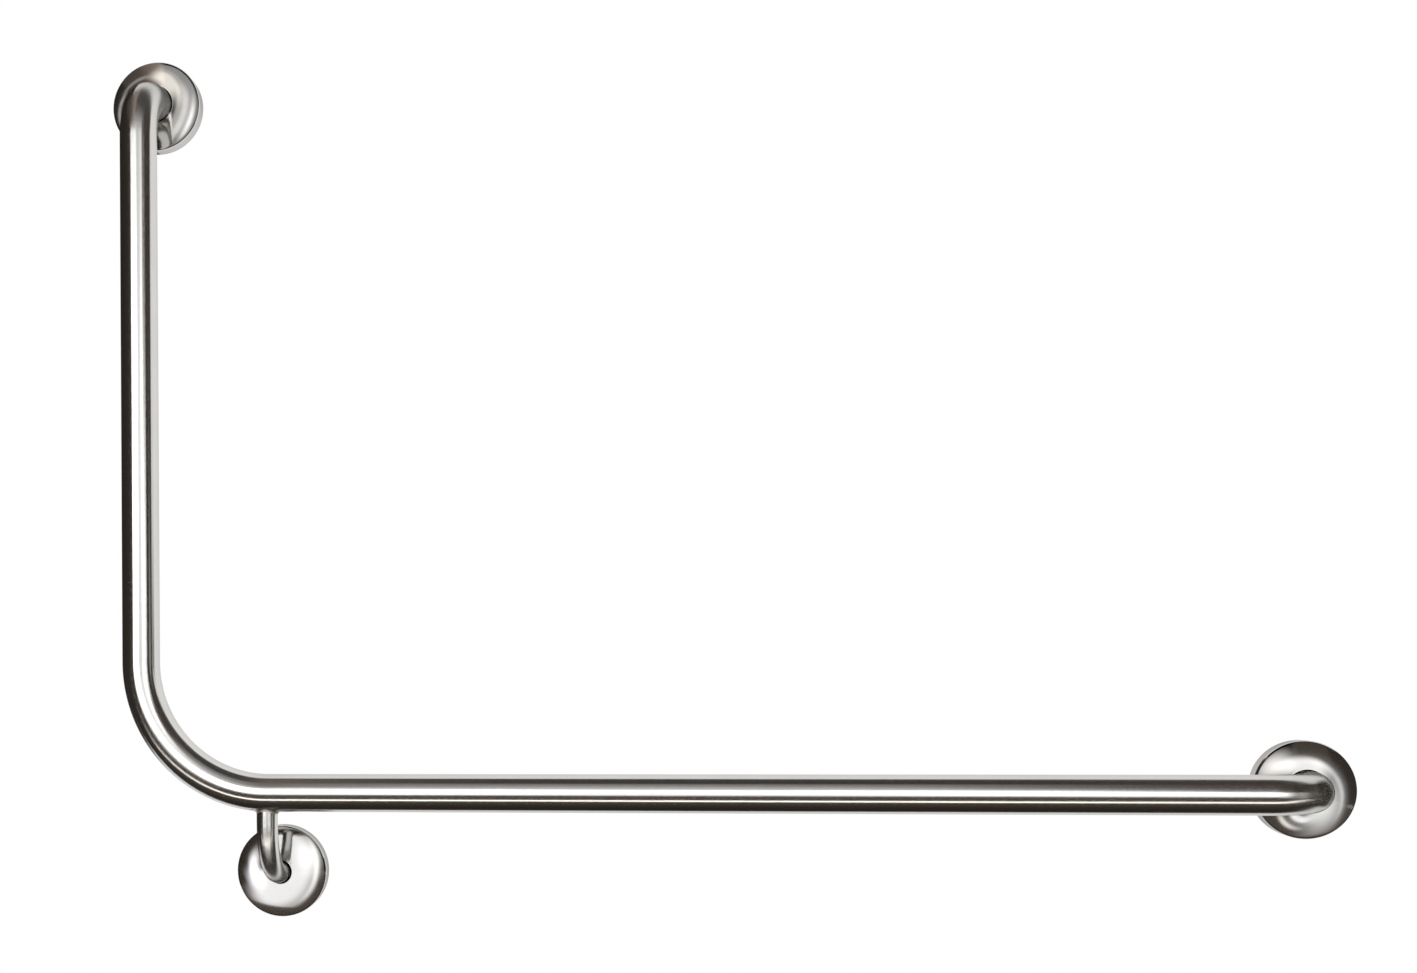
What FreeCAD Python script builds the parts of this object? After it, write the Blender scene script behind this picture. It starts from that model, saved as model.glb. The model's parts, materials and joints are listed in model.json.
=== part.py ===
# L-shaped grab rail for the wall beside a toilet: one bent stainless steel tube on two
# round flanges, with a thinner support leg and a third flange under its corner. Each
# flange plate hides under a domed cover that slides off it along the tube.
#
# Millimetres. The wall is the plane y = 0 and the whole rail stands in front of it, at
# y < 0. The origin is the centre of the end flange, on the wall, so z = 0 is the height
# of the horizontal leg. +X runs along that leg towards the end flange, and +Z is up.

import FreeCAD
import Part
import math
import os

Vector = FreeCAD.Vector

# Rail tube
rail_diameter = 32.0
rail_wall = 1.5
horizontal_reach = 960.0        # axis of the vertical leg to the centre of the end flange
vertical_reach = 610.0          # axis of the horizontal leg to the centre of the top flange
hand_clearance = 50.0           # open space between the wall and the tube
return_bend_radius = 44.0       # both bends back to the wall, to the tube's axis
corner_bend_radius = 112.0      # between the two legs, to the tube's axis

# Support leg, under the end of the corner bend
support_diameter = 18.0
support_wall = 1.5
support_reach = 110.0           # axis of the vertical leg to the axis of the support leg
support_drop = 73.0             # axis of the horizontal leg to the centre of the support flange
support_bend_radius = 45.0
cope_gap = 0.1                  # fit-up gap between the coped end and the rail

# Flange plates, the same but for the hole that takes the tube
plate_thickness = 3.0
plate_tube_gap = 0.1
plate_rim_bevel = 0.5
tube_setback = 0.5              # the tubes stop this far short of the plates' backs
screw_count = 3
screw_hole_diameter = 6.0
screw_hole_land = 0.8           # straight part of each hole, behind its countersink
countersink_angle = 90.0

# Welds
ring_weld_leg = 3.0
saddle_weld_radius = 2.0

# Covers, pressed from sheet, the same but for the hole round the tube
cover_diameter = 80.0
cover_sheet = 0.8
cover_depth = 19.5              # wall to the front of the rim round the tube
cover_crown_radius = 113.0      # of the domed face
cover_edge_radius = 2.5         # between the domed face and the skirt, outside
cover_wall_gap = 0.3
cover_plate_gap = 0.2           # fit of the skirt on the plate's rim
rail_cover_gap = 0.8            # between the tube and the rim of its cover
support_cover_gap = 1.4

overrun = 1.0                   # how far a cutting tool runs past what it cuts

# Derived places
rail_radius = rail_diameter / 2
support_radius = support_diameter / 2
standoff = hand_clearance + rail_radius
corner_x = -horizontal_reach
support_x = corner_x + support_reach
plate_radius = cover_diameter / 2 - cover_sheet - cover_plate_gap
screw_circle_radius = (rail_radius + ring_weld_leg + plate_radius) / 2

TOWARDS_WALL = Vector(0, 1, 0)
END_CENTRE = Vector(0, 0, 0)
TOP_CENTRE = Vector(corner_x, 0, vertical_reach)
SUPPORT_CENTRE = Vector(support_x, 0, -support_drop)


def bent_route(corners, bend_radii):
    """A route through corners, with a tangent arc of the given radius at each bend."""
    edges = []
    run_start = corners[0]
    for before, corner, after, bend_radius in zip(corners, corners[1:], corners[2:], bend_radii):
        heading = (corner - before).normalize()
        leaving = (after - corner).normalize()
        trim = bend_radius * math.tan(heading.getAngle(leaving) / 2)
        bend_start = corner - heading * trim
        bend_end = corner + leaving * trim
        corner_to_middle = math.hypot(trim, bend_radius) - bend_radius
        bend_middle = corner + (leaving - heading).normalize() * corner_to_middle
        edges.append(Part.makeLine(run_start, bend_start))
        edges.append(Part.Arc(bend_start, bend_middle, bend_end).toShape())
        run_start = bend_end
    edges.append(Part.makeLine(run_start, corners[-1]))
    return Part.Wire(edges)


def bar_along(route, radius):
    """A round bar swept along a route."""
    first_run = route.Edges[0]
    start = first_run.Vertexes[0].Point
    heading = first_run.tangentAt(first_run.FirstParameter)
    outline = Part.Wire(Part.makeCircle(radius, start, heading))
    return route.makePipeShell([outline], True, True)


def rail_bar(radius, past_end):
    """The rail as a solid bar of any radius, from the end flange to the top flange.

    It stops past_end beyond the wall plane, or short of it where that is negative.
    """
    corners = [
        Vector(0, past_end, 0),
        Vector(0, -standoff, 0),
        Vector(corner_x, -standoff, 0),
        Vector(corner_x, -standoff, vertical_reach),
        Vector(corner_x, past_end, vertical_reach),
    ]
    bends = [return_bend_radius, corner_bend_radius, return_bend_radius]
    return bar_along(bent_route(corners, bends), radius)


def support_bar(radius, past_end):
    """The support leg as a solid bar of any radius, from the rail's axis to its flange."""
    corners = [
        Vector(support_x, -standoff, 0),
        Vector(support_x, -standoff, -support_drop),
        Vector(support_x, past_end, -support_drop),
    ]
    return bar_along(bent_route(corners, [support_bend_radius]), radius)


def rail_tube():
    """The bent rail tube, open at both ends."""
    bore = rail_bar(rail_radius - rail_wall, overrun)
    return rail_bar(rail_radius, -tube_setback).cut(bore).Solids[0]


def support_leg():
    """The support tube, its top end coped to fit the underside of the rail."""
    bore = support_bar(support_radius - support_wall, overrun)
    cope = rail_bar(rail_radius + cope_gap, -tube_setback)
    return support_bar(support_radius, -tube_setback).cut(bore).cut(cope).Solids[0]


def support_leg_weld():
    """The saddle-shaped fillet of weld where the support leg meets the rail."""
    rail = rail_bar(rail_radius, -tube_setback)
    leg = support_bar(support_radius, -tube_setback)
    joined = rail.fuse(leg)
    # Both bars have only straight and round edges, so the free-form edges are their seam
    seam = [edge for edge in joined.Edges if edge.Curve.TypeId == "Part::GeomBSplineCurve"]
    filled = joined.makeFillet(saddle_weld_radius, seam)
    return filled.cut(rail).cut(leg).Solids[0]


def ring_profile(points):
    """A closed profile of radii and distances from the wall, as a face to revolve."""
    corners = [Vector(radius, -depth, 0) for radius, depth in points]
    return Part.Face(Part.makePolygon(corners + corners[:1]))


def turned(face):
    """The solid that a profile sweeps round the flange's axis."""
    return face.revolve(END_CENTRE, TOWARDS_WALL, 360)


def screw_cutter():
    """One countersunk screw hole at the flange's centre, as a solid to cut with."""
    hole_radius = screw_hole_diameter / 2
    flare = math.tan(math.radians(countersink_angle / 2))
    front = plate_thickness + overrun
    return turned(ring_profile([
        (0, -overrun),
        (hole_radius, -overrun),
        (hole_radius, screw_hole_land),
        (hole_radius + flare * (front - screw_hole_land), front),
        (0, front),
    ]))


def flange_plate(centre, tube_radius):
    """A round wall plate with a hole for its tube and countersunk screw holes round it."""
    hole_radius = tube_radius + plate_tube_gap
    plate = turned(ring_profile([
        (hole_radius, 0),
        (plate_radius, 0),
        (plate_radius, plate_thickness - plate_rim_bevel),
        (plate_radius - plate_rim_bevel, plate_thickness),
        (hole_radius, plate_thickness),
    ]))
    for number in range(screw_count):
        hole = screw_cutter()
        hole.translate(Vector(0, 0, screw_circle_radius))
        hole.rotate(END_CENTRE, TOWARDS_WALL, 360 * number / screw_count)
        plate = plate.cut(hole)
    plate.translate(centre)
    return plate


def ring_weld(centre, tube_radius):
    """The fillet of weld round a tube, on the front of its plate."""
    ring = turned(ring_profile([
        (tube_radius, plate_thickness),
        (tube_radius + ring_weld_leg, plate_thickness),
        (tube_radius, plate_thickness + ring_weld_leg),
    ]))
    ring.translate(centre)
    return ring


def arc_about(centre_radius, centre_depth, radius, start_angle, end_angle):
    """An arc of the cover's section. Angles are in radians, from the skirt side to the front."""
    middle_angle = (start_angle + end_angle) / 2
    ends = [
        Vector(
            centre_radius + radius * math.cos(angle),
            -(centre_depth + radius * math.sin(angle)),
            0,
        )
        for angle in (start_angle, middle_angle, end_angle)
    ]
    return Part.Arc(*ends).toShape()


def cover_line(hole_radius, inset):
    """One face of the cover's sheet, from the skirt's free edge to the rim round the tube.

    The inside face is the outside face moved in by the sheet's thickness, the inset.
    """
    crown_centre = cover_depth - math.sqrt(cover_crown_radius ** 2 - hole_radius ** 2)
    edge_centre_radius = cover_diameter / 2 - cover_edge_radius
    to_edge_centre = cover_crown_radius - cover_edge_radius
    edge_centre_depth = crown_centre + math.sqrt(to_edge_centre ** 2 - edge_centre_radius ** 2)
    meeting_angle = math.acos(edge_centre_radius / to_edge_centre)
    rim_angle = math.acos(hole_radius / (cover_crown_radius - inset))
    skirt_radius = cover_diameter / 2 - inset
    skirt = Part.makeLine(
        Vector(skirt_radius, -cover_wall_gap, 0),
        Vector(skirt_radius, -edge_centre_depth, 0),
    )
    edge = arc_about(edge_centre_radius, edge_centre_depth, cover_edge_radius - inset, 0, meeting_angle)
    crown = arc_about(0, crown_centre, cover_crown_radius - inset, meeting_angle, rim_angle)
    return [skirt, edge, crown]


def cover(centre, hole_radius):
    """A domed cover: straight skirt, rounded edge and shallow crown, with a plain hole."""
    outside = cover_line(hole_radius, 0)
    inside = cover_line(hole_radius, cover_sheet)
    free_edge = Part.makeLine(outside[0].Vertexes[0].Point, inside[0].Vertexes[0].Point)
    rim = Part.makeLine(outside[-1].Vertexes[-1].Point, inside[-1].Vertexes[-1].Point)
    section = Part.Wire(Part.__sortEdges__(outside + inside + [free_edge, rim]))
    shell = turned(Part.Face(section))
    shell.translate(centre)
    return shell


def pieces():
    """Every piece of the rail by its name."""
    flanges = [
        ("top", TOP_CENTRE, rail_radius, rail_cover_gap),
        ("end", END_CENTRE, rail_radius, rail_cover_gap),
        ("support", SUPPORT_CENTRE, support_radius, support_cover_gap),
    ]
    made = {
        "rail_tube": rail_tube(),
        "support_leg": support_leg(),
        "support_leg_weld": support_leg_weld(),
    }
    for name, centre, tube_radius, gap in flanges:
        made[name + "_flange_plate"] = flange_plate(centre, tube_radius)
        made[name + "_flange_weld"] = ring_weld(centre, tube_radius)
        made[name + "_cover"] = cover(centre, tube_radius + gap)
    return made


os.makedirs("parts", exist_ok=True)
for name, shape in pieces().items():
    shape.exportStep("parts/" + name + ".step")
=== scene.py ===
"""The looks of an L-shaped stainless steel grab rail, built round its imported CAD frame.

Sizes in the dataclasses are millimetres unless they say metres. Every mesh is in metres, in the CAD
frame: the wall is the plane y = 0, the rail stands at y < 0, the origin is the centre of the end
flange on the wall, +X runs along the horizontal leg towards it and +Z is up.
"""

import json
import logging
import math
from dataclasses import dataclass, field
from enum import Enum
from typing import Any, Iterable, Mapping, Sequence

import bmesh
import bpy
from mathutils import Matrix, Vector

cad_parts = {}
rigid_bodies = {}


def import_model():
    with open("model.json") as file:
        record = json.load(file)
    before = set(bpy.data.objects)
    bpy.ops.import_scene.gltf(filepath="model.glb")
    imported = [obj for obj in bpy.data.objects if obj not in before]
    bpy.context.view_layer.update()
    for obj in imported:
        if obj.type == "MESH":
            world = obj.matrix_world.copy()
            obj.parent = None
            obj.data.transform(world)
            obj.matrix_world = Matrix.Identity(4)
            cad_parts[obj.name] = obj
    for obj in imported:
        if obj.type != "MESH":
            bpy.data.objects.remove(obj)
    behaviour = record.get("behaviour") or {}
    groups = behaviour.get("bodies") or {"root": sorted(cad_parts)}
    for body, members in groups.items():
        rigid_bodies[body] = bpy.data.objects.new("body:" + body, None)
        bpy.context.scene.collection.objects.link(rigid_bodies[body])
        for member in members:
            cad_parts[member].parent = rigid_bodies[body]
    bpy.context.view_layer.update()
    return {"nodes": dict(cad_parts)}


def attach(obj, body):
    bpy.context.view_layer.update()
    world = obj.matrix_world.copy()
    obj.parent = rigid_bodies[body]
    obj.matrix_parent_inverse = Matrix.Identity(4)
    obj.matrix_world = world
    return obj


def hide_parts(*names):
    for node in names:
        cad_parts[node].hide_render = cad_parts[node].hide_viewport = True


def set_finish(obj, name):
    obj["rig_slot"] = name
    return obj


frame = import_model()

MM = 0.001
WHITE = "FFFFFF"
# Most of a noise lies between these two values
NOISE_LOW, NOISE_HIGH = 0.3, 0.7

Point = tuple[float, float, float]
Collection = bpy.types.Collection
Material = bpy.types.Material
Mesh = bpy.types.Mesh
Node = bpy.types.Node
Socket = bpy.types.NodeSocket
Tree = bpy.types.NodeTree

log = logging.getLogger("grab_rail")


class Body(Enum):
    """The bodies of the CAD frame that the pieces ride on."""

    RAIL = "rail"
    TOP_COVER = "top_cover"
    END_COVER = "end_cover"
    SUPPORT_COVER = "support_cover"


class Slot(Enum):
    """The record's material slots that the new pieces take."""

    TUBE = "brushed_tube"
    COVER = "satin_cover"
    WELD = "weld_bead"


class Side(Enum):
    """The side of a studio card along which its light changes."""

    ACROSS = 0
    UP = 1


class Mirrors(Enum):
    """Which pieces mirror a light."""

    ALL = "all_pieces"
    TUBES = "tubes_and_welds"
    SUPPORT_LEG = "support_leg"
    TOP_COVER = "top_cover"
    END_COVER = "end_cover"
    SUPPORT_COVER = "support_cover"


def linear(colour: str) -> tuple[float, float, float, float]:
    """Turns an sRGB colour to the linear values that Blender's sockets take.

    Args:
        colour: six hex digits.

    Returns:
        Red, green, blue and a full alpha.
    """
    levels = [int(colour[place : place + 2], 16) / 255 for place in (0, 2, 4)]
    red, green, blue = [
        level / 12.92 if level <= 0.04045 else ((level + 0.055) / 1.055) ** 2.4 for level in levels
    ]
    return red, green, blue, 1.0


def add_node(
    tree: Tree, kind: str, inputs: Mapping[str | int, Any] | None = None, **settings: Any
) -> Node:
    """Adds a node to a tree with its settings and its links.

    Args:
        tree: the tree that takes the node.
        kind: the node's type name.
        inputs: what goes into its sockets, by name or number: a value, another node's output, or
            another node for its first output.
        **settings: the node's own properties.

    Returns:
        The new node.
    """
    node = tree.nodes.new(kind)
    for name, value in settings.items():
        setattr(node, name, value)
    for key, value in (inputs or {}).items():
        source = value.outputs[0] if isinstance(value, Node) else value
        if isinstance(source, Socket):
            tree.links.new(source, node.inputs[key])
        else:
            node.inputs[key].default_value = source
    return node


def empty_material(name: str) -> tuple[Material, Tree]:
    """Makes a material with no nodes in it.

    Args:
        name: its name.

    Returns:
        The material and its tree.
    """
    material = bpy.data.materials.new(name)
    material.use_nodes = True
    material.node_tree.nodes.clear()
    return material, material.node_tree


def real_noise(
    tree: Tree, where: Socket, grain: Sequence[float], detail: float = 2.0
) -> Node:
    """Lays a noise whose grain has a real size.

    Args:
        tree: the material's tree.
        where: the coordinates that the noise reads, in metres.
        grain: the size of one grain along each axis.
        detail: how many finer layers the noise has.

    Returns:
        The noise, from 0 to 1.
    """
    scale = [1 / (size * MM) for size in grain]
    scaled = add_node(tree, "ShaderNodeMapping", {"Vector": where, "Scale": scale})
    inputs = {"Vector": scaled, "Scale": 1.0, "Detail": detail}
    return add_node(tree, "ShaderNodeTexNoise", inputs)


@dataclass(frozen=True)
class BareSteel:
    """Bare stainless steel: a metal of two near greys, smoother and rougher from place to place."""

    name: str
    light: str
    dark: str
    roughness: float
    smoother: float
    rougher: float

    def dress(
        self,
        tree: Tree,
        dark: Node,
        rough: Node,
        reliefs: Iterable[tuple[Node, float]],
        **more: Any,
    ) -> None:
        """Adds the steel's shader and the material's output.

        Args:
            tree: the material's tree.
            dark: the share of the dark grey.
            rough: the noise that the roughness follows.
            reliefs: the heights of its reliefs with their depths, the coarsest first.
            **more: other inputs of the shader, with underscores for the spaces in their names.
        """
        greys = {0: dark, 6: linear(self.light), 7: linear(self.dark)}
        spread = {
            "Value": rough,
            "From Min": NOISE_LOW,
            "From Max": NOISE_HIGH,
            "To Min": self.roughness - self.smoother,
            "To Max": self.roughness + self.rougher,
        }
        inputs = {
            "Base Color": add_node(tree, "ShaderNodeMix", greys, data_type="RGBA").outputs[2],
            "Roughness": add_node(tree, "ShaderNodeMapRange", spread),
            "Metallic": 1.0,
        }
        coarser = {}
        for height, depth in reliefs:
            relief = {"Height": height, "Distance": depth * MM, **coarser}
            coarser = {"Normal": add_node(tree, "ShaderNodeBump", relief)}
        inputs.update(coarser)
        inputs.update({name.replace("_", " "): value for name, value in more.items()})
        shader = add_node(tree, "ShaderNodeBsdfPrincipled", inputs)
        add_node(tree, "ShaderNodeOutputMaterial", {"Surface": shader})


@dataclass(frozen=True)
class GroundTubeSteel(BareSteel):
    """304 stainless steel tube, ground to satin by a belt that runs round it.

    The belt leaves fine grooves that circle the tube, so what the tube mirrors is drawn out along
    it and stays sharp across it, as long clean bands of light and dark.
    """

    name: str = "ground_stainless_tube"
    light: str = "DAD9D7"
    dark: str = "D1D0CD"
    roughness: float = 0.2
    smoother: float = 0.015
    rougher: float = 0.02
    edge: str = "E4E3E1"
    drawn_out: float = 0.9
    # The real grooves are 0.05 to 0.2 mm apart: these are as coarse as shows at arm's length
    groove_pitch: float = 1.4
    groove_length: float = 18.0
    groove_depth: float = 0.0009
    cloud: float = 45.0
    wave: float = 70.0
    wave_depth: float = 0.02

    def material(self) -> Material:
        """Makes the material. It reads the place on the tube before it was bent, in metres.

        Returns:
            The material.
        """
        material, tree = empty_material(self.name)
        straight = add_node(tree, "ShaderNodeAttribute", attribute_name="unbent").outputs["Vector"]
        around = self.groove_length
        grooves = real_noise(tree, straight, (self.groove_pitch, around, around))
        clouds = real_noise(tree, straight, (self.cloud, self.cloud / 2, self.cloud / 2))
        waves = real_noise(tree, straight, (self.wave,) * 3, detail=0.0)
        self.dress(
            tree,
            clouds,
            grooves,
            ((waves, self.wave_depth), (grooves, self.groove_depth)),
            Anisotropic=self.drawn_out,
            Specular_Tint=linear(self.edge),
            Tangent=add_node(tree, "ShaderNodeTangent", direction_type="UV_MAP", uv_map="UVMap"),
        )
        return material


@dataclass(frozen=True)
class PolishedCoverSteel(BareSteel):
    """304 stainless steel sheet, pressed to a dome and polished to a soft satin.

    It mirrors the room with softened edges, equally blurred every way, over a very faint haze.
    """

    name: str = "polished_stainless_cover"
    light: str = "DBDAD8"
    dark: str = "D2D1CF"
    roughness: float = 0.09
    smoother: float = 0.01
    rougher: float = 0.015
    edge: str = "B8B7B5"
    cloud: float = 14.0
    grain: float = 0.9
    grain_depth: float = 0.0006
    wave: float = 26.0
    wave_depth: float = 0.02

    def material(self) -> Material:
        """Makes the material.

        Returns:
            The material.
        """
        material, tree = empty_material(self.name)
        place = add_node(tree, "ShaderNodeTexCoord").outputs["Object"]
        grain = real_noise(tree, place, (self.grain,) * 3)
        clouds = real_noise(tree, place, (self.cloud,) * 3)
        waves = real_noise(tree, place, (self.wave,) * 3, detail=0.0)
        reliefs = ((waves, self.wave_depth), (grain, self.grain_depth))
        self.dress(tree, clouds, clouds, reliefs, Specular_Tint=linear(self.edge))
        return material


@dataclass(frozen=True)
class RolledSteel(BareSteel):
    """304 stainless steel as the mill rolled it: dull, grey and streaked along the rolling."""

    name: str = "mill_finish_stainless_plate"
    light: str = "CBCAC7"
    dark: str = "B9B8B4"
    roughness: float = 0.42
    smoother: float = 0.06
    rougher: float = 0.06
    streak: float = 0.8
    streak_length: float = 30.0
    streak_depth: float = 0.001
    cloud: float = 9.0

    def material(self) -> Material:
        """Makes the material.

        Returns:
            The material.
        """
        material, tree = empty_material(self.name)
        place = add_node(tree, "ShaderNodeTexCoord").outputs["Object"]
        streaks = real_noise(tree, place, (self.streak_length, self.streak, self.streak))
        clouds = real_noise(tree, place, (self.cloud,) * 3)
        self.dress(tree, clouds, streaks, [(streaks, self.streak_depth)])
        return material


@dataclass(frozen=True)
class WeldSteel(BareSteel):
    """Stainless steel run as weld and dressed by hand: satin, with a trace of straw heat tint."""

    name: str = "dressed_stainless_weld"
    light: str = "CFCDC8"
    dark: str = "B5AA98"
    roughness: float = 0.3
    smoother: float = 0.05
    rougher: float = 0.1
    patch: float = 5.0
    scratch: float = 0.7
    scratch_depth: float = 0.003

    def material(self) -> Material:
        """Makes the material.

        Returns:
            The material.
        """
        material, tree = empty_material(self.name)
        place = add_node(tree, "ShaderNodeTexCoord").outputs["Object"]
        scratches = real_noise(tree, place, (self.scratch,) * 3)
        patches = real_noise(tree, place, (self.patch,) * 3)
        spread = {"Value": patches, "From Min": NOISE_LOW, "From Max": NOISE_HIGH}
        tint = add_node(tree, "ShaderNodeMapRange", spread)
        self.dress(tree, tint, scratches, [(scratches, self.scratch_depth)])
        return material


def bent_tube_tree() -> Tree:
    """Builds the tree that bends a tube along a route.

    The route is a chain of edges through its corners, whose points carry their bend's radius as
    bend_radius. The tube comes out as its outside and its bore, open at both ends. Its points carry
    unbent, their place on the tube before it was bent, in metres.

    Returns:
        The tree.
    """
    tree = bpy.data.node_groups.new("bent_tube", "GeometryNodeTree")
    sockets = {
        "Route": "NodeSocketGeometry",
        "Outside radius": "NodeSocketFloat",
        "Bore radius": "NodeSocketFloat",
        "Sides": "NodeSocketInt",
        "Steps in a bend": "NodeSocketInt",
        "Outside finish": "NodeSocketMaterial",
        "Bore finish": "NodeSocketMaterial",
    }
    for name, kind in sockets.items():
        tree.interface.new_socket(name, in_out="INPUT", socket_type=kind)
    tree.interface.new_socket("Tube", in_out="OUTPUT", socket_type="NodeSocketGeometry")
    given = add_node(tree, "NodeGroupInput").outputs

    corner = {
        "Curve": add_node(tree, "GeometryNodeMeshToCurve", {"Mesh": given["Route"]}),
        "Count": given["Steps in a bend"],
        "Radius": add_node(tree, "GeometryNodeInputNamedAttribute", {"Name": "bend_radius"}),
    }
    measured = {
        "Geometry": add_node(tree, "GeometryNodeFilletCurve", corner, mode="POLY"),
        "Name": "along",
        "Value": add_node(tree, "GeometryNodeSplineParameter").outputs["Length"],
    }
    route = add_node(tree, "GeometryNodeStoreNamedAttribute", measured)

    walls = add_node(tree, "GeometryNodeJoinGeometry")
    for radius, in_bore in (("Outside radius", False), ("Bore radius", True)):
        circle = {"Resolution": given["Sides"], "Radius": given[radius]}
        marks = {
            "Geometry": add_node(tree, "GeometryNodeCurvePrimitiveCircle", circle),
            "Name": "section",
            "Value": add_node(tree, "GeometryNodeInputPosition"),
        }
        section = add_node(
            tree, "GeometryNodeStoreNamedAttribute", marks, data_type="FLOAT_VECTOR"
        )
        swept = {"Curve": route, "Profile Curve": section}
        faces = {
            "Geometry": add_node(tree, "GeometryNodeCurveToMesh", swept),
            "Name": "in_bore",
            "Value": in_bore,
        }
        wall = add_node(
            tree, "GeometryNodeStoreNamedAttribute", faces, data_type="BOOLEAN", domain="FACE"
        )
        tree.links.new(wall.outputs["Geometry"], walls.inputs["Geometry"])

    read = {
        name: add_node(tree, "GeometryNodeInputNamedAttribute", {"Name": name}, data_type=kind)
        for name, kind in (("along", "FLOAT"), ("section", "FLOAT_VECTOR"), ("in_bore", "BOOLEAN"))
    }
    across = add_node(tree, "ShaderNodeSeparateXYZ", {"Vector": read["section"]}).outputs
    unbent = {"X": read["along"], "Y": across["X"], "Z": across["Y"]}
    places = {
        "Geometry": walls,
        "Name": "unbent",
        "Value": add_node(tree, "ShaderNodeCombineXYZ", unbent),
    }
    placed = add_node(tree, "GeometryNodeStoreNamedAttribute", places, data_type="FLOAT_VECTOR")
    whole = add_node(tree, "GeometryNodeRealizeInstances", {"Geometry": placed})
    outside = {"Geometry": whole, "Material": given["Outside finish"]}
    bore = {
        "Geometry": add_node(tree, "GeometryNodeSetMaterial", outside),
        "Selection": read["in_bore"],
        "Material": given["Bore finish"],
    }
    add_node(tree, "NodeGroupOutput", {"Tube": add_node(tree, "GeometryNodeSetMaterial", bore)})
    return tree


def finish_mesh(mesh: Mesh, sharp_from: float = 35.0) -> None:
    """Shades a mesh smooth except over edges as sharp as an angle in degrees."""
    mesh.shade_smooth()
    mesh.set_sharp_from_angle(angle=math.radians(sharp_from))


def stand_in(
    name: str, mesh: Mesh, body: Body, slot: Slot, nodes: Iterable[str]
) -> None:
    """Puts a finished mesh into the scene in the place of CAD nodes.

    Args:
        name: the piece's name.
        mesh: its mesh.
        body: the body that it rides on.
        slot: the record's material slot of its finish.
        nodes: the CAD nodes that it stands for.
    """
    piece = bpy.data.objects.new(name, mesh)
    bpy.context.scene.collection.objects.link(piece)
    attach(piece, body.value)
    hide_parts(*nodes)
    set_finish(piece, slot.value)
    log.info("%s: %d faces in the place of %s", name, len(mesh.polygons), ", ".join(nodes))


@dataclass(frozen=True)
class Finishes:
    """The materials of the whole rail, made once."""

    tube: Material = field(default_factory=GroundTubeSteel().material)
    cover: Material = field(default_factory=PolishedCoverSteel().material)
    plate: Material = field(default_factory=RolledSteel().material)
    bore: Material = field(
        default_factory=RolledSteel("drawn_stainless_bore", "BDBBB7", "A9A7A2", 0.5).material
    )
    weld: Material = field(default_factory=WeldSteel().material)


@dataclass(frozen=True)
class Layout:
    """Where the rail's tubes and flanges stand."""

    reach: float = 960.0
    height: float = 610.0
    standoff: float = 66.0
    support_reach: float = 110.0
    support_drop: float = 73.0
    corner_bend: float = 112.0

    def support_x(self) -> float:
        """Gives the place of the support leg along the horizontal leg."""
        return self.support_reach - self.reach

    def rail_underside(self, x: float, y: float, radius: float) -> float:
        """Gives the height of the rail's underside, on the straight leg or the corner bend.

        Args:
            x: the place along the horizontal leg.
            y: the place in front of the wall.
            radius: the radius of the tube, or of a larger one round it.

        Returns:
            The height.
        """
        below_axis = math.sqrt(radius**2 - (y + self.standoff) ** 2)
        into_bend = min(x + self.reach - self.corner_bend, 0.0)
        return self.corner_bend - math.sqrt((self.corner_bend + below_axis) ** 2 - into_bend**2)


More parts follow.
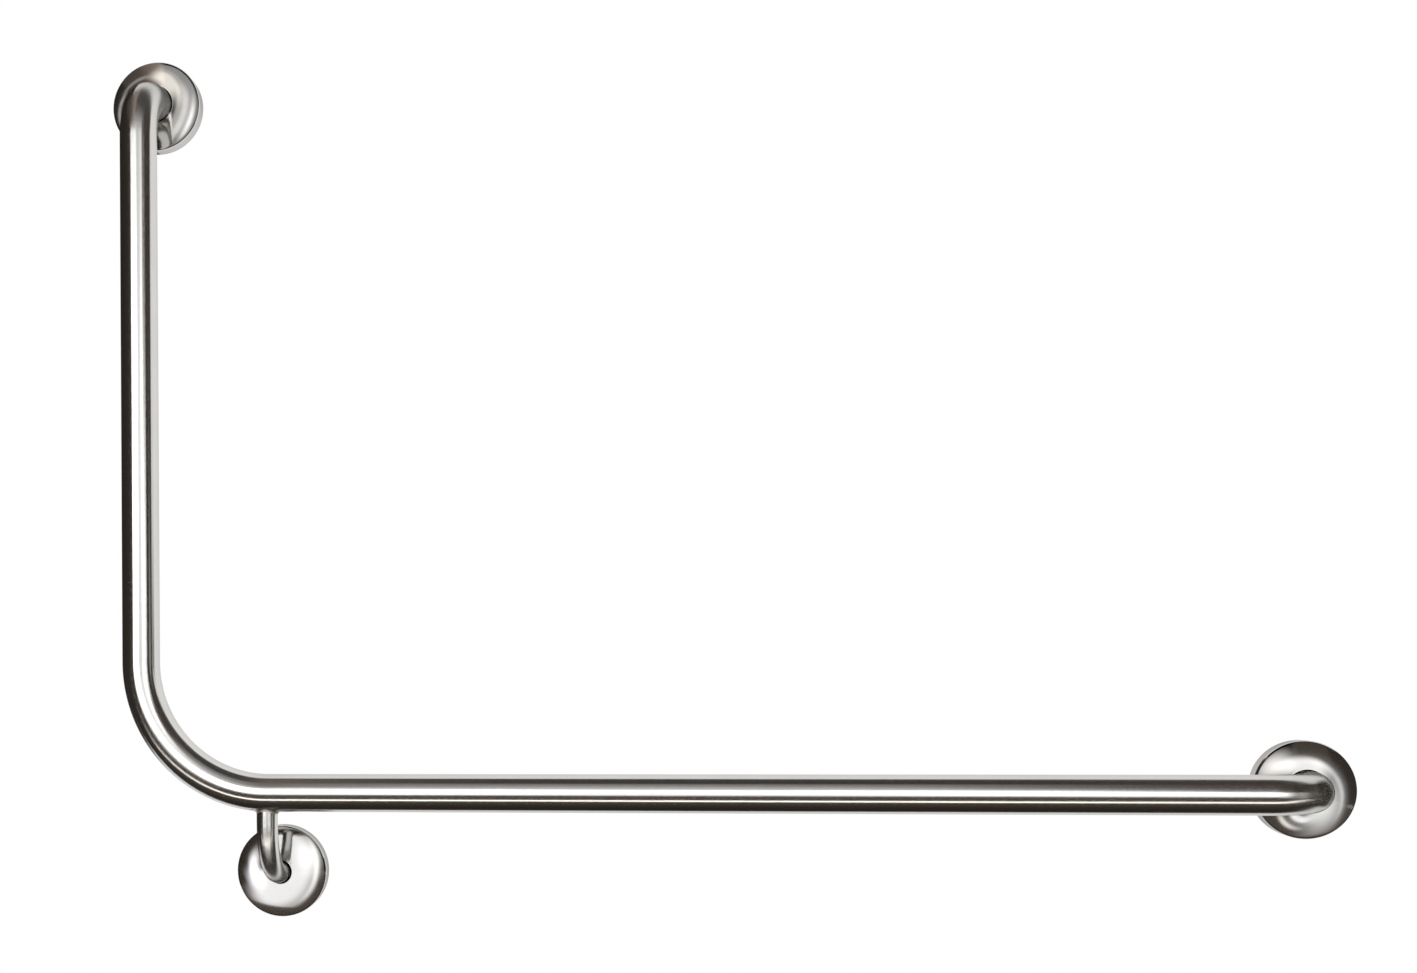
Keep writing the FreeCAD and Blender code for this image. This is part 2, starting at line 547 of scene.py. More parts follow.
@dataclass(frozen=True)
class BentTube:
    """A round tube bent along a route, with its wall's thickness showing at its ends."""

    name: str
    diameter: float
    wall: float
    corners: tuple[Point, ...]
    bend_radii: tuple[float, ...]
    sides: int = 128
    bend_steps: int = 48

    def route(self) -> bpy.types.Object:
        """Makes the chain of edges that the tube follows, with its bends' radii on its points.

        Returns:
            The chain.
        """
        mesh = bpy.data.meshes.new(self.name)
        points = [Vector(corner) * MM for corner in self.corners]
        mesh.from_pydata(points, [(k, k + 1) for k in range(len(points) - 1)], [])
        radii = mesh.attributes.new("bend_radius", "FLOAT", "POINT")
        radii.data.foreach_set("value", [0.0, *[radius * MM for radius in self.bend_radii], 0.0])
        route = bpy.data.objects.new(self.name + "_route", mesh)
        bpy.context.scene.collection.objects.link(route)
        return route

    def sweep(self, tree: Tree, finishes: Finishes) -> Mesh:
        """Runs the tree on the route and keeps what it makes as a plain mesh.

        Args:
            tree: the bent tube's tree.
            finishes: the rail's materials.

        Returns:
            The tube's outside and bore, open at both ends.
        """
        route = self.route()
        modifier = route.modifiers.new("bent_tube", "NODES")
        modifier.node_group = tree
        values = {
            "Outside radius": self.diameter / 2 * MM,
            "Bore radius": (self.diameter / 2 - self.wall) * MM,
            "Sides": self.sides,
            "Steps in a bend": self.bend_steps,
            "Outside finish": finishes.tube,
            "Bore finish": finishes.bore,
        }
        for socket in tree.interface.items_tree:
            if socket.name in values:
                modifier[socket.identifier] = values[socket.name]
        evaluated = route.evaluated_get(bpy.context.evaluated_depsgraph_get())
        mesh = bpy.data.meshes.new_from_object(evaluated)
        mesh.name = self.name
        route.modifiers.remove(modifier)
        bpy.data.objects.remove(route)
        return mesh

    def close(self, mesh: Mesh) -> None:
        """Closes the ring between the outside and the bore at both ends, and lays its UVs.

        The UV map has the place along the tube in metres as u and the turn round it as v.

        Args:
            mesh: the swept tube.
        """
        work = bmesh.new()
        work.from_mesh(mesh)
        rims = [edge for edge in work.edges if edge.is_boundary]
        lay = work.loops.layers.uv.new("UVMap")
        along = work.verts.layers.float_vector["unbent"]
        for face in work.faces:
            for loop in face.loops:
                place = loop.vert[along]
                loop[lay].uv = place.x, math.atan2(place.z, place.y)
            furthest = max(loop[lay].uv.y for loop in face.loops)
            for loop in face.loops:
                if furthest - loop[lay].uv.y > math.pi:
                    loop[lay].uv.y += 2 * math.pi
        for corner in (self.corners[0], self.corners[-1]):
            centre = Vector(corner) * MM
            near = [
                edge for edge in rims if (edge.verts[0].co - centre).length < self.diameter * MM
            ]
            for face in bmesh.ops.bridge_loops(work, edges=near)["faces"]:
                for loop in face.loops:
                    place = loop.vert[along]
                    loop[lay].uv = math.hypot(place.y, place.z), place.y
        bmesh.ops.recalc_face_normals(work, faces=work.faces)
        work.to_mesh(mesh)
        work.free()
        finish_mesh(mesh)


@dataclass
class RailTube:
    """The rail: one tube bent back to the wall at both ends and round a wide corner."""

    layout: Layout
    diameter: float = 32.0
    wall: float = 1.5
    return_bend: float = 44.0
    setback: float = 0.5

    def build(self, tree: Tree, finishes: Finishes) -> None:
        """Builds the rail in its finish.

        Args:
            tree: the bent tube's tree.
            finishes: the rail's materials.
        """
        place = self.layout
        tube = BentTube(
            "rail",
            self.diameter,
            self.wall,
            corners=(
                (0, -self.setback, 0),
                (0, -place.standoff, 0),
                (-place.reach, -place.standoff, 0),
                (-place.reach, -place.standoff, place.height),
                (-place.reach, -self.setback, place.height),
            ),
            bend_radii=(self.return_bend, place.corner_bend, self.return_bend),
        )
        mesh = tube.sweep(tree, finishes)
        tube.close(mesh)
        stand_in("rail", mesh, Body.RAIL, Slot.TUBE, ["rail_tube"])


@dataclass
class SupportLeg:
    """The thinner leg under the corner: coped to the rail, bent back to the wall and welded on."""

    layout: Layout
    rail_radius: float
    diameter: float = 18.0
    wall: float = 1.5
    bend: float = 45.0
    setback: float = 0.5
    cope_gap: float = 0.1
    top_gap: float = 0.3
    weld_toe: float = 2.3
    weld_hollow: float = 0.45
    weld_ripple: float = 0.12
    ripple_pitch: float = 1.6
    weld_steps: int = 288

    def build(self, tree: Tree, finishes: Finishes) -> None:
        """Builds the leg and its weld in their finishes.

        Args:
            tree: the bent tube's tree.
            finishes: the rail's materials.
        """
        place = self.layout
        top = self.top_gap - math.sqrt(self.rail_radius**2 - (self.diameter / 2) ** 2)
        tube = BentTube(
            "support_leg_tube",
            self.diameter,
            self.wall,
            corners=(
                (place.support_x(), -place.standoff, top),
                (place.support_x(), -place.standoff, -place.support_drop),
                (place.support_x(), -self.setback, -place.support_drop),
            ),
            bend_radii=(self.bend,),
        )
        mesh = tube.sweep(tree, finishes)
        self.cope(mesh, top)
        tube.close(mesh)
        stand_in("support_leg_tube", mesh, Body.RAIL, Slot.TUBE, ["support_leg"])
        bead = self.weld(finishes)
        stand_in("support_leg_bead", bead, Body.RAIL, Slot.WELD, ["support_leg_weld"])

    def cope(self, mesh: Mesh, top: float) -> None:
        """Cuts the leg's top end to the round of the rail above it.

        Args:
            mesh: the swept leg.
            top: the height where it starts.
        """
        reach = self.rail_radius + self.cope_gap
        for vertex in mesh.vertices:
            if abs(vertex.co.z - top * MM) < self.cope_gap * MM / 2:
                x, y = vertex.co.x / MM, vertex.co.y / MM
                vertex.co.z = self.layout.rail_underside(x, y, reach) * MM

    def weld(self, finishes: Finishes) -> Mesh:
        """Makes the saddle-shaped bead between the leg and the rail, faintly rippled.

        Args:
            finishes: the rail's materials.

        Returns:
            The bead's mesh.
        """
        ripples = round(math.pi * self.diameter / self.ripple_pitch)
        rings = []
        for step in range(self.weld_steps):
            angle = 2 * math.pi * step / self.weld_steps
            toe = self.weld_toe + self.weld_ripple * math.cos(ripples * angle)
            root = self.beside_leg(angle, 0)
            rail_toe = self.beside_leg(angle, toe)
            leg_toe = root - Vector((0, 0, toe))
            middle = root.lerp((rail_toe + leg_toe) / 2, self.weld_hollow)
            face = [
                leg_toe.lerp(middle, share).lerp(middle.lerp(rail_toe, share), share)
                for share in (0, 0.2, 0.4, 0.6, 0.8, 1)
            ]
            rings.append([root, *face])
        mesh = closed_ring_mesh("support_leg_bead", rings)
        mesh.materials.append(finishes.weld)
        return mesh

    def beside_leg(self, angle: float, out: float) -> Vector:
        """Gives a point of the rail's underside near the leg.

        Args:
            angle: the direction from the leg's axis.
            out: the distance from the leg's surface.

        Returns:
            The point.
        """
        radius = self.diameter / 2 + out
        x = self.layout.support_x() + radius * math.cos(angle)
        y = radius * math.sin(angle) - self.layout.standoff
        return Vector((x, y, self.layout.rail_underside(x, y, self.rail_radius)))


def closed_ring_mesh(name: str, rings: Sequence[Sequence[Vector]]) -> Mesh:
    """Makes a closed mesh from sections that go once round.

    Args:
        name: the mesh's name.
        rings: the sections in their order, each a closed loop of points in millimetres.

    Returns:
        The mesh, its faces outwards.
    """
    count = len(rings[0])
    points = [point * MM for ring in rings for point in ring]
    faces = []
    for ring in range(len(rings)):
        here, there = ring * count, (ring + 1) % len(rings) * count
        for place in range(count):
            after = (place + 1) % count
            faces.append((here + place, there + place, there + after, here + after))
    mesh = bpy.data.meshes.new(name)
    mesh.from_pydata(points, [], faces)
    work = bmesh.new()
    work.from_mesh(mesh)
    bmesh.ops.recalc_face_normals(work, faces=work.faces)
    work.to_mesh(mesh)
    work.free()
    finish_mesh(mesh)
    return mesh


@dataclass
class Flange:
    """A wall plate with its ring of weld and the domed cover that hides them."""

    name: str
    body: Body
    centre: Point
    tube_radius: float
    cover_gap: float
    cover_diameter: float = 80.0
    cover_sheet: float = 0.8
    cover_depth: float = 19.5
    crown_radius: float = 113.0
    edge_radius: float = 2.5
    wall_gap: float = 0.3
    lip_round: float = 0.15
    cover_steps: int = 192
    edge_steps: int = 24
    crown_steps: int = 32
    plate_thickness: float = 3.0
    weld_leg: float = 3.0
    weld_ripple: float = 0.18
    ripple_pitch: float = 2.2
    ripple_steps: int = 6

    def build(self, finishes: Finishes) -> None:
        """Builds the cover and the weld, and gives the plate its finish.

        Args:
            finishes: the rail's materials.
        """
        cover = self.cover()
        cover.materials.append(finishes.cover)
        stand_in(cover.name, cover, self.body, Slot.COVER, [self.name + "_cover"])
        weld = self.weld()
        weld.materials.append(finishes.weld)
        stand_in(weld.name, weld, Body.RAIL, Slot.WELD, [self.name + "_flange_weld"])
        plate = frame["nodes"][self.name + "_flange_plate"]
        plate.data.materials.clear()
        plate.data.materials.append(finishes.plate)
        log.info("%s: mill finish", plate.name)

    def on_ring(self, angle: float, radius: float, depth: float) -> Vector:
        """Gives a point by its angle, its radius and its distance from the wall."""
        x, y, z = self.centre
        return Vector((x + radius * math.cos(angle), y - depth, z + radius * math.sin(angle)))

    def cover_line(self, inset: float) -> list[tuple[float, float]]:
        """Gives one face of the cover's sheet, from the skirt's free edge to the hole's rim.

        Args:
            inset: how far the face lies inside the cover's outside.

        Returns:
            Its points, as radius and distance from the wall.
        """
        hole = self.tube_radius + self.cover_gap
        crown_centre = self.cover_depth - math.sqrt(self.crown_radius**2 - hole**2)
        edge_centre = self.cover_diameter / 2 - self.edge_radius
        to_edge = self.crown_radius - self.edge_radius
        edge_depth = crown_centre + math.sqrt(to_edge**2 - edge_centre**2)
        meeting = math.acos(edge_centre / to_edge)
        rim = math.acos(hole / (self.crown_radius - inset))
        skirt = self.cover_diameter / 2 - inset
        free_edge = self.wall_gap + self.lip_round
        line = [(skirt, free_edge), (skirt, (free_edge + edge_depth) / 2)]
        radius = self.edge_radius - inset
        for step in range(self.edge_steps + 1):
            angle = meeting * step / self.edge_steps
            line.append(
                (edge_centre + radius * math.cos(angle), edge_depth + radius * math.sin(angle))
            )
        radius = self.crown_radius - inset
        for step in range(1, self.crown_steps + 1):
            angle = meeting + (rim - meeting) * step / self.crown_steps
            line.append((radius * math.cos(angle), crown_centre + radius * math.sin(angle)))
        return line

    def cover(self) -> Mesh:
        """Turns the cover's sheet round the flange's axis, with broken edges at hole and skirt.

        Returns:
            The cover's mesh.
        """
        outside = self.cover_line(0.0)
        inside = self.cover_line(self.cover_sheet)
        hole = self.tube_radius + self.cover_gap
        outside[-1] = (hole + self.lip_round, outside[-1][1])
        inside[-1] = (hole + self.lip_round, inside[-1][1])
        rim = [
            (hole, outside[-1][1] - self.lip_round),
            (hole, inside[-1][1] + self.lip_round),
        ]
        free_edge = [
            (self.cover_diameter / 2 - self.cover_sheet + self.lip_round, self.wall_gap),
            (self.cover_diameter / 2 - self.lip_round, self.wall_gap),
        ]
        section = [*outside, *rim, *reversed(inside), *free_edge]
        rings = [
            [self.on_ring(2 * math.pi * step / self.cover_steps, *point) for point in section]
            for step in range(self.cover_steps)
        ]
        return closed_ring_mesh(self.name + "_cover_dome", rings)

    def weld(self) -> Mesh:
        """Makes the rippled ring of weld between the tube and the plate's front.

        Returns:
            The ring's mesh.
        """
        ripples = round(2 * math.pi * self.tube_radius / self.ripple_pitch)
        steps = ripples * self.ripple_steps
        radius, depth = self.tube_radius, self.plate_thickness
        rings = []
        for step in range(steps):
            angle = 2 * math.pi * step / steps
            leg = self.weld_leg - self.weld_ripple * (1 - math.cos(ripples * angle))
            face = [(radius + leg * (1 - share), depth + leg * share) for share in (0, 0.5, 1)]
            rings.append([self.on_ring(angle, *point) for point in ((radius, depth), *face)])
        return closed_ring_mesh(self.name + "_flange_bead", rings)


def hang(
    name: str,
    corners: Sequence[Vector],
    material: Material,
    mirrored_in: Collection | None,
) -> None:
    """Hangs a flat light in the room, out of sight of the camera and with no light on the floor.

    Args:
        name: its name.
        corners: its four corners in metres, in their order round it.
        material: its light.
        mirrored_in: the only pieces that mirror it, or None for all.
    """
    mesh = bpy.data.meshes.new(name)
    mesh.from_pydata(corners, [], [(0, 1, 2, 3)])
    lay = mesh.uv_layers.new(name="UVMap")
    for loop, uv in zip(lay.data, ((0, 0), (1, 0), (1, 1), (0, 1))):
        loop.uv = uv
    mesh.materials.append(material)
    light = bpy.data.objects.new(name, mesh)
    bpy.context.scene.collection.objects.link(light)
    light.visible_camera = False
    light.visible_diffuse = False
    light.visible_shadow = False
    if mirrored_in:
        light.light_linking.receiver_collection = mirrored_in
    log.info("%s: light up", name)


@dataclass(frozen=True)
class Card:
    """A flat card of the studio, light or dark, that only polished surfaces mirror.

    Its corner and sides are in metres. Its light changes along one side, by pairs of a place on
    that side and the level there, and its edges fade out over a soft width. A card that hides what
    stands behind it is black to the pieces that don't mirror it, and one that doesn't hide adds its
    light to what stands behind it. Its far side may differ from the near.
    """

    name: str
    corner: Point
    across: Point
    up: Point
    levels: tuple[tuple[float, float], ...]
    changes: Side = Side.UP
    soft: float = 0.1
    tint: str = WHITE
    mirrored_in: Mirrors = Mirrors.ALL
    hides: bool = True
    far_across: Point | None = None
    brightest: float = 4.0

    def build(self, pieces: Mapping[Mirrors, Collection]) -> None:
        """Hangs the card.

        Args:
            pieces: the rail's pieces by their group.
        """
        corner, across, up = Vector(self.corner), Vector(self.across), Vector(self.up)
        far = Vector(self.far_across or self.across)
        hang(
            self.name,
            [corner, corner + across, corner + up + far, corner + up],
            self.material((across.length, up.length)),
            pieces.get(self.mirrored_in),
        )

    def material(self, lengths: tuple[float, float]) -> Material:
        """Makes the card's light.

        Args:
            lengths: the lengths of its across side and its up side.

        Returns:
            The material.
        """
        material, tree = empty_material(self.name)
        material.cycles.emission_sampling = "NONE"
        uv = add_node(tree, "ShaderNodeUVMap", uv_map="UVMap")
        sides = add_node(tree, "ShaderNodeSeparateXYZ", {"Vector": uv}).outputs
        ramp = add_node(tree, "ShaderNodeValToRGB", {"Fac": sides[self.changes.value]})
        points = ramp.color_ramp.elements
        points.remove(points[1])
        for _ in self.levels[1:]:
            points.new(1.0)
        for point, (place, level) in zip(points, self.levels):
            point.position = place / lengths[self.changes.value]
            point.color = (*[level / self.brightest] * 3, 1.0)
        strength = add_node(
            tree, "ShaderNodeMath", {0: ramp, 1: self.brightest}, operation="MULTIPLY"
        )
        # How far a place lies inside the nearest edge, in metres, is what the edges fade by
        middle = (0.5, 0.5, 0.0)
        off = add_node(tree, "ShaderNodeVectorMath", {0: uv, 1: middle}, operation="SUBTRACT")
        out = add_node(tree, "ShaderNodeVectorMath", {0: off}, operation="ABSOLUTE")
        inside = add_node(tree, "ShaderNodeVectorMath", {0: middle, 1: out}, operation="SUBTRACT")
        real = {0: inside, 1: (*lengths, 0.0)}
        metres = add_node(tree, "ShaderNodeVectorMath", real, operation="MULTIPLY")
        x, y, _ = add_node(tree, "ShaderNodeSeparateXYZ", {"Vector": metres}).outputs
        nearest = add_node(tree, "ShaderNodeMath", {0: x, 1: y}, operation="MINIMUM")
        edge = {"Value": nearest, "From Max": self.soft}
        cover = add_node(tree, "ShaderNodeMapRange", edge, interpolation_type="SMOOTHSTEP")
        if not self.hides:
            both = {0: strength, 1: cover}
            strength = add_node(tree, "ShaderNodeMath", both, operation="MULTIPLY")
        shine = {"Color": linear(self.tint), "Strength": strength}
        light = add_node(tree, "ShaderNodeEmission", shine)
        clear = add_node(tree, "ShaderNodeBsdfTransparent")
        if self.hides:
            both = add_node(tree, "ShaderNodeMixShader", {0: cover, 1: clear, 2: light})
        else:
            both = add_node(tree, "ShaderNodeAddShader", {0: clear, 1: light})
        add_node(tree, "ShaderNodeOutputMaterial", {"Surface": both})
        return material


# What dark cloth mirrors as: nearly black, and a little warm
DARK_CLOTH = "FFE9D7"

# The cards round the whole rail: a bright softbox in front, dark cloth round it and over it
ROOM_CARDS = (
    Card(
        "white_backing", (-6.0, -4.31, -2.0), (12.0, 0, 0), (0, 0, 4.25), ((0.0, 1.0),),
        soft=0.01, mirrored_in=Mirrors.TUBES,
    ),
    Card(
        "front_softbox", (-2.6, -1.9, -0.1), (4.1, 0, 0), (0, 0, 1.15),
        ((1.66, 3.6), (1.78, 1.3), (2.25, 1.3), (2.45, 2.1), (2.8, 2.6), (3.3, 2.4), (3.9, 1.5)),
        Side.ACROSS, soft=0.15, mirrored_in=Mirrors.TUBES,
    ),
    Card(
        "grey_upper_front", (-2.6, -1.91, 0.9), (3.1, 0, 0), (0, 0, 0.75),
        ((0.1, 0.78), (0.75, 0.6)), soft=0.05, mirrored_in=Mirrors.TUBES,
    ),
    Card(
        "grey_ceiling", (-2.6, -3.6, 1.6), (3.1, 0, 0), (0, 4.0, 0),
        ((0.0, 0.8), (1.56, 0.64), (2.4, 0.34), (2.74, 0.2), (2.84, 0.06)),
        soft=0.2, tint="FFFBF8", mirrored_in=Mirrors.TUBES,
    ),
    Card(
        "dark_ceiling_left", (-2.6, -2.4, 1.58), (1.5, 0, 0), (0, 2.75, 0),
        ((0.0, 0.06), (1.0, 0.1), (1.35, 0.3)), Side.ACROSS, tint=DARK_CLOTH,
    ),
    Card(
        "dark_ceiling_right", (0.1, -3.6, 1.58), (2.5, 0, 0), (0, 3.95, 0), ((0.0, 0.07),),
        soft=0.2, tint=DARK_CLOTH,
    ),
    Card(
        "dark_upper_right", (0.3, -1.88, 0.6), (2.2, 0, 0), (0, 0, 1.1), ((0.0, 0.08),),
        tint=DARK_CLOTH,
    ),
    Card(
        "dark_left", (-2.1, -1.89, -0.62), (0, 5.63, 0), (0, 0, 3.2), ((0.0, 0.06), (1.3, 0.03)),
        Side.ACROSS, soft=0.06, tint=DARK_CLOTH,
    ),
    Card(
        "dark_right", (1.65, -2.3, -0.6), (0, 2.2, 0), (0, 0, 2.3), ((0.0, 0.045),),
        tint=DARK_CLOTH,
    ),
    Card(
        "dark_by_end_bend", (0.3, -0.12, -0.25), (0, 0.4, 0), (0, 0, 0.5), ((0.0, 0.04),),
        soft=0.06, tint=DARK_CLOTH,
    ),
    Card(
        "dark_low_front", (-2.6, -4.3, -0.6), (4.4, 0, 0), (0, 4.6, 0),
        ((0.4, 0.1), (3.0, 0.08), (3.75, 0.09), (4.0, 0.05), (4.2, 0.03)), tint=DARK_CLOTH,
    ),
    Card(
        "warm_strip_lamp", (-2.6, -0.91, -0.59), (4.4, 0, 0), (0, 0.22, 0), ((0.0, 2.3),),
        soft=0.03, tint="FFFBF3", mirrored_in=Mirrors.TUBES, hides=False,
    ),
    Card(
        "bend_panel", (0.9, -0.85, -0.3), (0, 0.4, 0), (0, 0, 0.6), ((0.0, 0.5),),
        mirrored_in=Mirrors.TUBES, hides=False,
    ),
    Card(
        "support_leg_panel", (-1.15, -0.25, -0.56), (0.55, 0, 0), (-0.9, -1.55, 0),
        ((0.0, 0.3), (0.8, 0.6)), mirrored_in=Mirrors.SUPPORT_LEG, hides=False,
        far_across=(2.6, 0, 0),
    ),
)


@dataclass(frozen=True)
class Glow:
    """A soft strip light on a scrim, bent round the scrim's own middle.

    Its radius and its half width are in metres; its place on the round and the half angle that it
    spreads over are in degrees. Its softness is the share of its half width and half angle that
    fades.
    """

    radius: float
    wide: float
    at: float
    spread: float
    soft: float
    level: float
    tint: str = WHITE

    def light(self, tree: Tree, place: Node) -> Node:
        """Adds its light to a scrim's material.

        Args:
            tree: the material's tree.
            place: the place on the scrim from its middle, in metres.

        Returns:
            The light.
        """
        turn = {"Vector": place, "Rotation": (0, 0, math.radians(-self.at))}
        turned = add_node(tree, "ShaderNodeMapping", turn)
        x, y, _ = add_node(tree, "ShaderNodeSeparateXYZ", {"Vector": turned}).outputs
        from_middle = add_node(tree, "ShaderNodeVectorMath", {0: turned}, operation="LENGTH")
        line = {0: from_middle.outputs["Value"], 1: self.radius}
        off_line = add_node(tree, "ShaderNodeMath", line, operation="SUBTRACT")
        angle = add_node(tree, "ShaderNodeMath", {0: y, 1: x}, operation="ARCTAN2")
        strength = self.level
        for off, half in ((off_line, self.wide), (angle, math.radians(self.spread))):
            fade = {
                "Value": add_node(tree, "ShaderNodeMath", {0: off}, operation="ABSOLUTE"),
                "From Min": half * (1 - self.soft),
                "From Max": half,
                "To Min": 1.0,
                "To Max": 0.0,
            }
            fading = add_node(tree, "ShaderNodeMapRange", fade, interpolation_type="SMOOTHSTEP")
            both = {0: fading, 1: strength}
            strength = add_node(tree, "ShaderNodeMath", both, operation="MULTIPLY")
        inputs = {"Color": linear(self.tint), "Strength": strength}
        return add_node(tree, "ShaderNodeEmission", inputs)


@dataclass(frozen=True)
class Scrim:
    """A sheer screen in front of one cover, whose soft lights that cover alone mirrors.

    Its middle and its half size are in metres.
    """

    cover: Mirrors
    middle: Point
    glows: tuple[Glow, ...]
    reach: float = 2.4

    def build(self, pieces: Mapping[Mirrors, Collection]) -> None:
        """Hangs the scrim.

        Args:
            pieces: the rail's pieces by their group.
        """
        sides = ((-1, -1), (1, -1), (1, 1), (-1, 1))
        corners = [
            Vector(self.middle) + Vector((across, 0, up)) * self.reach for across, up in sides
        ]
        hang(self.cover.value + "_scrim", corners, self.material(), pieces[self.cover])

    def material(self) -> Material:
        """Makes the scrim's light, clear between its glows.

        Returns:
            The material.
        """
        material, tree = empty_material(self.cover.value + "_scrim")
        material.cycles.emission_sampling = "NONE"
        from_middle = {
            "Vector": add_node(tree, "ShaderNodeUVMap", uv_map="UVMap"),
            "Location": (-self.reach, -self.reach, 0),
            "Scale": (2 * self.reach, 2 * self.reach, 1),
        }
        place = add_node(tree, "ShaderNodeMapping", from_middle)
        light = add_node(tree, "ShaderNodeBsdfTransparent")
        for glow in self.glows:
            both = {0: light, 1: glow.light(tree, place)}
            light = add_node(tree, "ShaderNodeAddShader", both)
        add_node(tree, "ShaderNodeOutputMaterial", {"Surface": light})
        return material


# What the three covers mirror in front of them
SCRIMS = (
    Scrim(
        Mirrors.TOP_COVER,
        (-1.40, -0.62, 0.87),
        (
            Glow(0.66, 0.09, 15, 66, 0.30, 0.39, "FFFEFF"),
            Glow(0.47, 0.16, 34, 52, 0.74, 1.14, "FFFBF3"),
            Glow(0.94, 0.43, -26, 66, 1.00, 0.48, "FEFFFF"),
            Glow(0.35, 0.05, 213, 89, 0.39, 0.53, "FFFFFD"),
            Glow(0.58, 0.09, -36, 66, 0.55, 0.59, "FFFDF8"),
            Glow(0.70, 0.04, -20, 31, 1.00, 1.22, "FFFFFE"),
            Glow(0.41, 0.05, 110, 43, 0.58, 0.36, "FFFEFC"),
        ),
    ),
    Scrim(
        Mirrors.END_COVER,
        (0.18, -0.58, -0.22),
        (
            Glow(0.12, 0.55, -3, 115, 1.00, 1.21, "FCFFFF"),
            Glow(0.16, 0.06, -96, 73, 0.43, 0.14, "F4FFF7"),
            Glow(0.50, 0.18, 125, 33, 1.00, 1.37, "FFFDFB"),
            Glow(0.42, 0.11, 89, 48, 0.72, 1.24, "FFFFFF"),
            Glow(0.12, 0.05, -161, 128, 0.57, 1.19, "FDFDFF"),
            Glow(0.24, 0.04, -134, 58, 0.90, 1.24, "FFFDF7"),
            Glow(0.47, 0.06, 29, 78, 0.94, 0.62, "FCFBFF"),
        ),
    ),
    Scrim(
        Mirrors.SUPPORT_COVER,
        (-1.16, -0.60, -0.08),
        (
            Glow(0.12, 0.52, -19, 133, 0.41, 1.23, "FCFDFF"),
            Glow(0.24, 0.22, -137, 45, 1.00, 1.39, "F6F6FF"),
            Glow(0.60, 0.14, -96, 44, 1.00, 0.47, "FFFAF4"),
            Glow(0.18, 0.14, -168, 97, 1.00, 2.21, "FCFCFF"),
            Glow(0.57, 0.05, -10, 67, 1.00, 1.01, "FEFFFE"),
            Glow(0.51, 0.21, 11, 32, 0.99, 0.81, "FFFCF6"),
        ),
    ),
)


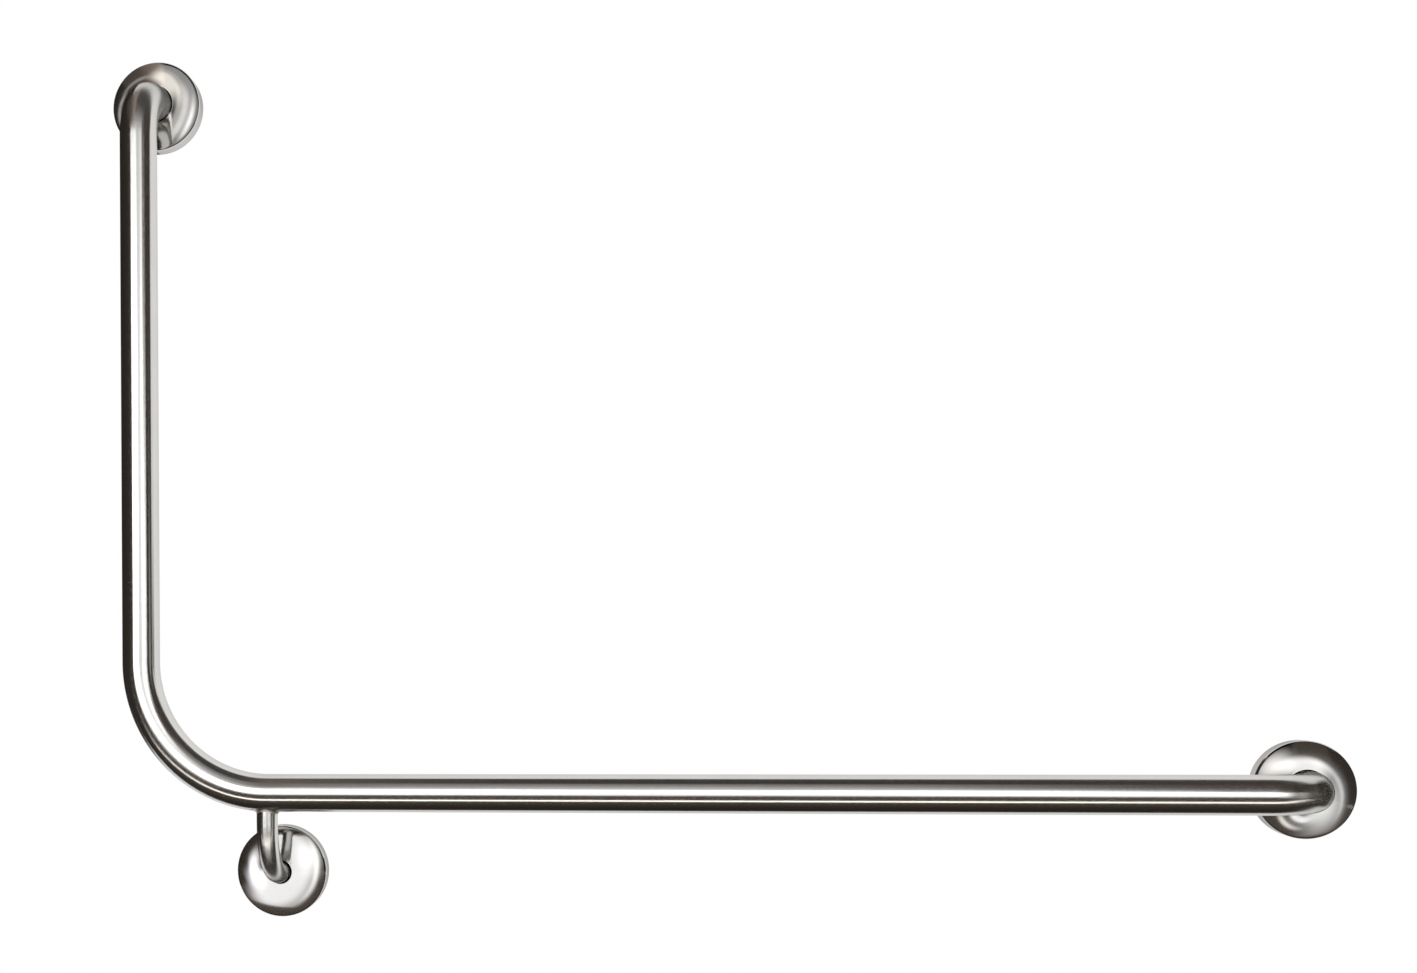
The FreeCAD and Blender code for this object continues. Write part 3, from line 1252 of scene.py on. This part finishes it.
@dataclass
class Studio:
    """The white studio: a pale floor, plain soft light, and the lights that the steel mirrors.

    Its places and lengths are in metres.
    """

    floor_near: tuple[float, float] = (-3.0, -2.5)
    floor_far: tuple[float, float] = (2.2, 2.4)
    floor_height: float = -0.75
    floor_colour: str = "F3F2F0"
    floor_shade: str = "F0EFED"
    floor_cloud: float = 0.4
    rail_middle: tuple[float, float] = (-0.45, -0.05)
    floor_to: float = 1.0
    white_from: float = 2.3
    room_light: float = 0.8
    lamp_place: Point = (-0.5, -0.6, 2.4)
    lamp_width: float = 0.7
    lamp_power: float = 30.0
    lights: tuple[Card | Scrim, ...] = ROOM_CARDS + SCRIMS

    def build(self, pieces: Mapping[Mirrors, Collection]) -> None:
        """Builds the studio.

        Args:
            pieces: the rail's pieces by their group.
        """
        self.lay_floor()
        self.light_room()
        self.hang_lamp()
        for light in self.lights:
            light.build(pieces)

    def lay_floor(self) -> None:
        """Lays the floor: white where it is mirrored, and fading to white away from the rail."""
        (left, front), (right, back), z = self.floor_near, self.floor_far, self.floor_height
        corners = [(left, front, z), (right, front, z), (right, back, z), (left, back, z)]
        mesh = bpy.data.meshes.new("floor")
        mesh.from_pydata(corners, [], [(0, 1, 2, 3)])
        material, tree = empty_material("pale_floor")
        place = add_node(tree, "ShaderNodeTexCoord").outputs["Object"]
        clouds = real_noise(tree, place, (self.floor_cloud / MM,) * 3)
        pales = {0: clouds, 6: linear(self.floor_colour), 7: linear(self.floor_shade)}
        pale = add_node(tree, "ShaderNodeMix", pales, data_type="RGBA").outputs[2]
        matt = add_node(tree, "ShaderNodeBsdfDiffuse", {"Color": pale})
        white = add_node(tree, "ShaderNodeEmission", {"Color": linear(WHITE), "Strength": 1.0})
        mirrored = add_node(tree, "ShaderNodeLightPath").outputs["Is Glossy Ray"]
        apart = {0: place, 1: (*self.rail_middle, z)}
        away = add_node(tree, "ShaderNodeVectorMath", apart, operation="DISTANCE").outputs["Value"]
        fade = {"Value": away, "From Min": self.floor_to, "From Max": self.white_from}
        fading = add_node(tree, "ShaderNodeMapRange", fade, interpolation_type="SMOOTHSTEP")
        share = add_node(tree, "ShaderNodeMath", {0: mirrored, 1: fading}, operation="MAXIMUM")
        both = add_node(tree, "ShaderNodeMixShader", {0: share, 1: matt, 2: white})
        add_node(tree, "ShaderNodeOutputMaterial", {"Surface": both})
        mesh.materials.append(material)
        floor = bpy.data.objects.new("floor", mesh)
        bpy.context.scene.collection.objects.link(floor)

    def light_room(self) -> None:
        """Fills the room with even light, white where it is seen or mirrored."""
        world = bpy.data.worlds.new("white_studio")
        bpy.context.scene.world = world
        world.use_nodes = True
        # The cards hide the room from what mirrors them only if no ray is sent straight to it
        world.cycles.sampling_method = "NONE"
        tree = world.node_tree
        tree.nodes.clear()
        path = add_node(tree, "ShaderNodeLightPath").outputs
        seen = path["Is Camera Ray"]
        for ray in ("Is Glossy Ray", "Is Transmission Ray"):
            seen = add_node(tree, "ShaderNodeMath", {0: seen, 1: path[ray]}, operation="MAXIMUM")
        level = {"Value": seen, "To Min": self.room_light, "To Max": 1.0}
        strength = add_node(tree, "ShaderNodeMapRange", level)
        inputs = {"Color": linear(WHITE), "Strength": strength}
        sky = add_node(tree, "ShaderNodeBackground", inputs)
        add_node(tree, "ShaderNodeOutputWorld", {"Surface": sky})

    def hang_lamp(self) -> None:
        """Hangs the one lamp, over the rail, which casts its soft shadow on the floor."""
        lamp = bpy.data.lights.new("overhead_lamp", "AREA")
        lamp.shape = "DISK"
        lamp.size = self.lamp_width
        lamp.energy = self.lamp_power
        overhead = bpy.data.objects.new("overhead_lamp", lamp)
        overhead.location = self.lamp_place
        overhead.visible_glossy = False
        bpy.context.scene.collection.objects.link(overhead)


@dataclass(frozen=True)
class PhotographCamera:
    """The camera at the photograph's place, in metres and radians, for a frame 1417 by 973.

    Its lens and sensor are in millimetres, and its shifts are shares of the frame's width.
    """

    place: Point = (-0.50902, -1.49986, 0.11867)
    yaw: float = 0.13947
    pitch: float = 0.02157
    roll: float = 0.00912
    lens: float = 43.756
    sensor: float = 36.0
    shift_x: float = 0.1978
    shift_y: float = 0.0904
    nearest: float = 0.05
    furthest: float = 50.0

    def build(self) -> None:
        """Sets the camera up."""
        data = bpy.data.cameras.new("photograph_camera")
        data.sensor_fit = "HORIZONTAL"
        data.sensor_width = self.sensor
        data.lens = self.lens
        data.shift_x = self.shift_x
        data.shift_y = self.shift_y
        data.clip_start = self.nearest
        data.clip_end = self.furthest
        camera = bpy.data.objects.new("photograph_camera", data)
        turn = (
            Matrix.Rotation(self.yaw, 3, "Z")
            @ Matrix.Rotation(self.pitch, 3, "X")
            @ Matrix.Rotation(self.roll, 3, "Y")
        )
        right, forward, up = turn.transposed()
        axes = Matrix((right, up, -forward)).transposed().to_4x4()
        camera.matrix_world = Matrix.Translation(self.place) @ axes
        bpy.context.scene.collection.objects.link(camera)
        bpy.context.scene.camera = camera


def pieces_by_light() -> dict[Mirrors, Collection]:
    """Groups the rail's pieces for the lights that only some of them mirror.

    Returns:
        The pieces by the name of their group.
    """
    groups = {
        name: bpy.data.collections.new(name.value) for name in Mirrors if name is not Mirrors.ALL
    }
    for piece in bpy.context.scene.objects:
        if piece.get("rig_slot") not in (None, Slot.COVER.value):
            groups[Mirrors.TUBES].objects.link(piece)
        for name, group in groups.items():
            if piece.name.startswith(name.value):
                group.objects.link(piece)
    return groups


def main() -> None:
    """Builds the rail, its flanges and covers, and the studio round them."""
    logging.basicConfig(level=logging.INFO, format="%(name)s: %(message)s")
    bpy.context.scene.view_settings.view_transform = "Standard"
    layout = Layout()
    finishes = Finishes()
    tree = bent_tube_tree()
    rail = RailTube(layout)
    rail.build(tree, finishes)
    leg = SupportLeg(layout, rail_radius=rail.diameter / 2)
    leg.build(tree, finishes)
    end = (0.0, 0.0, 0.0)
    top = (-layout.reach, 0.0, layout.height)
    under = (layout.support_x(), 0.0, -layout.support_drop)
    flanges = (
        Flange("end", Body.END_COVER, end, rail.diameter / 2, cover_gap=0.8),
        Flange("top", Body.TOP_COVER, top, rail.diameter / 2, cover_gap=0.8),
        Flange("support", Body.SUPPORT_COVER, under, leg.diameter / 2, cover_gap=1.4),
    )
    for flange in flanges:
        flange.build(finishes)
    Studio().build(pieces_by_light())
    PhotographCamera().build()


if __name__ == "__main__":
    main()
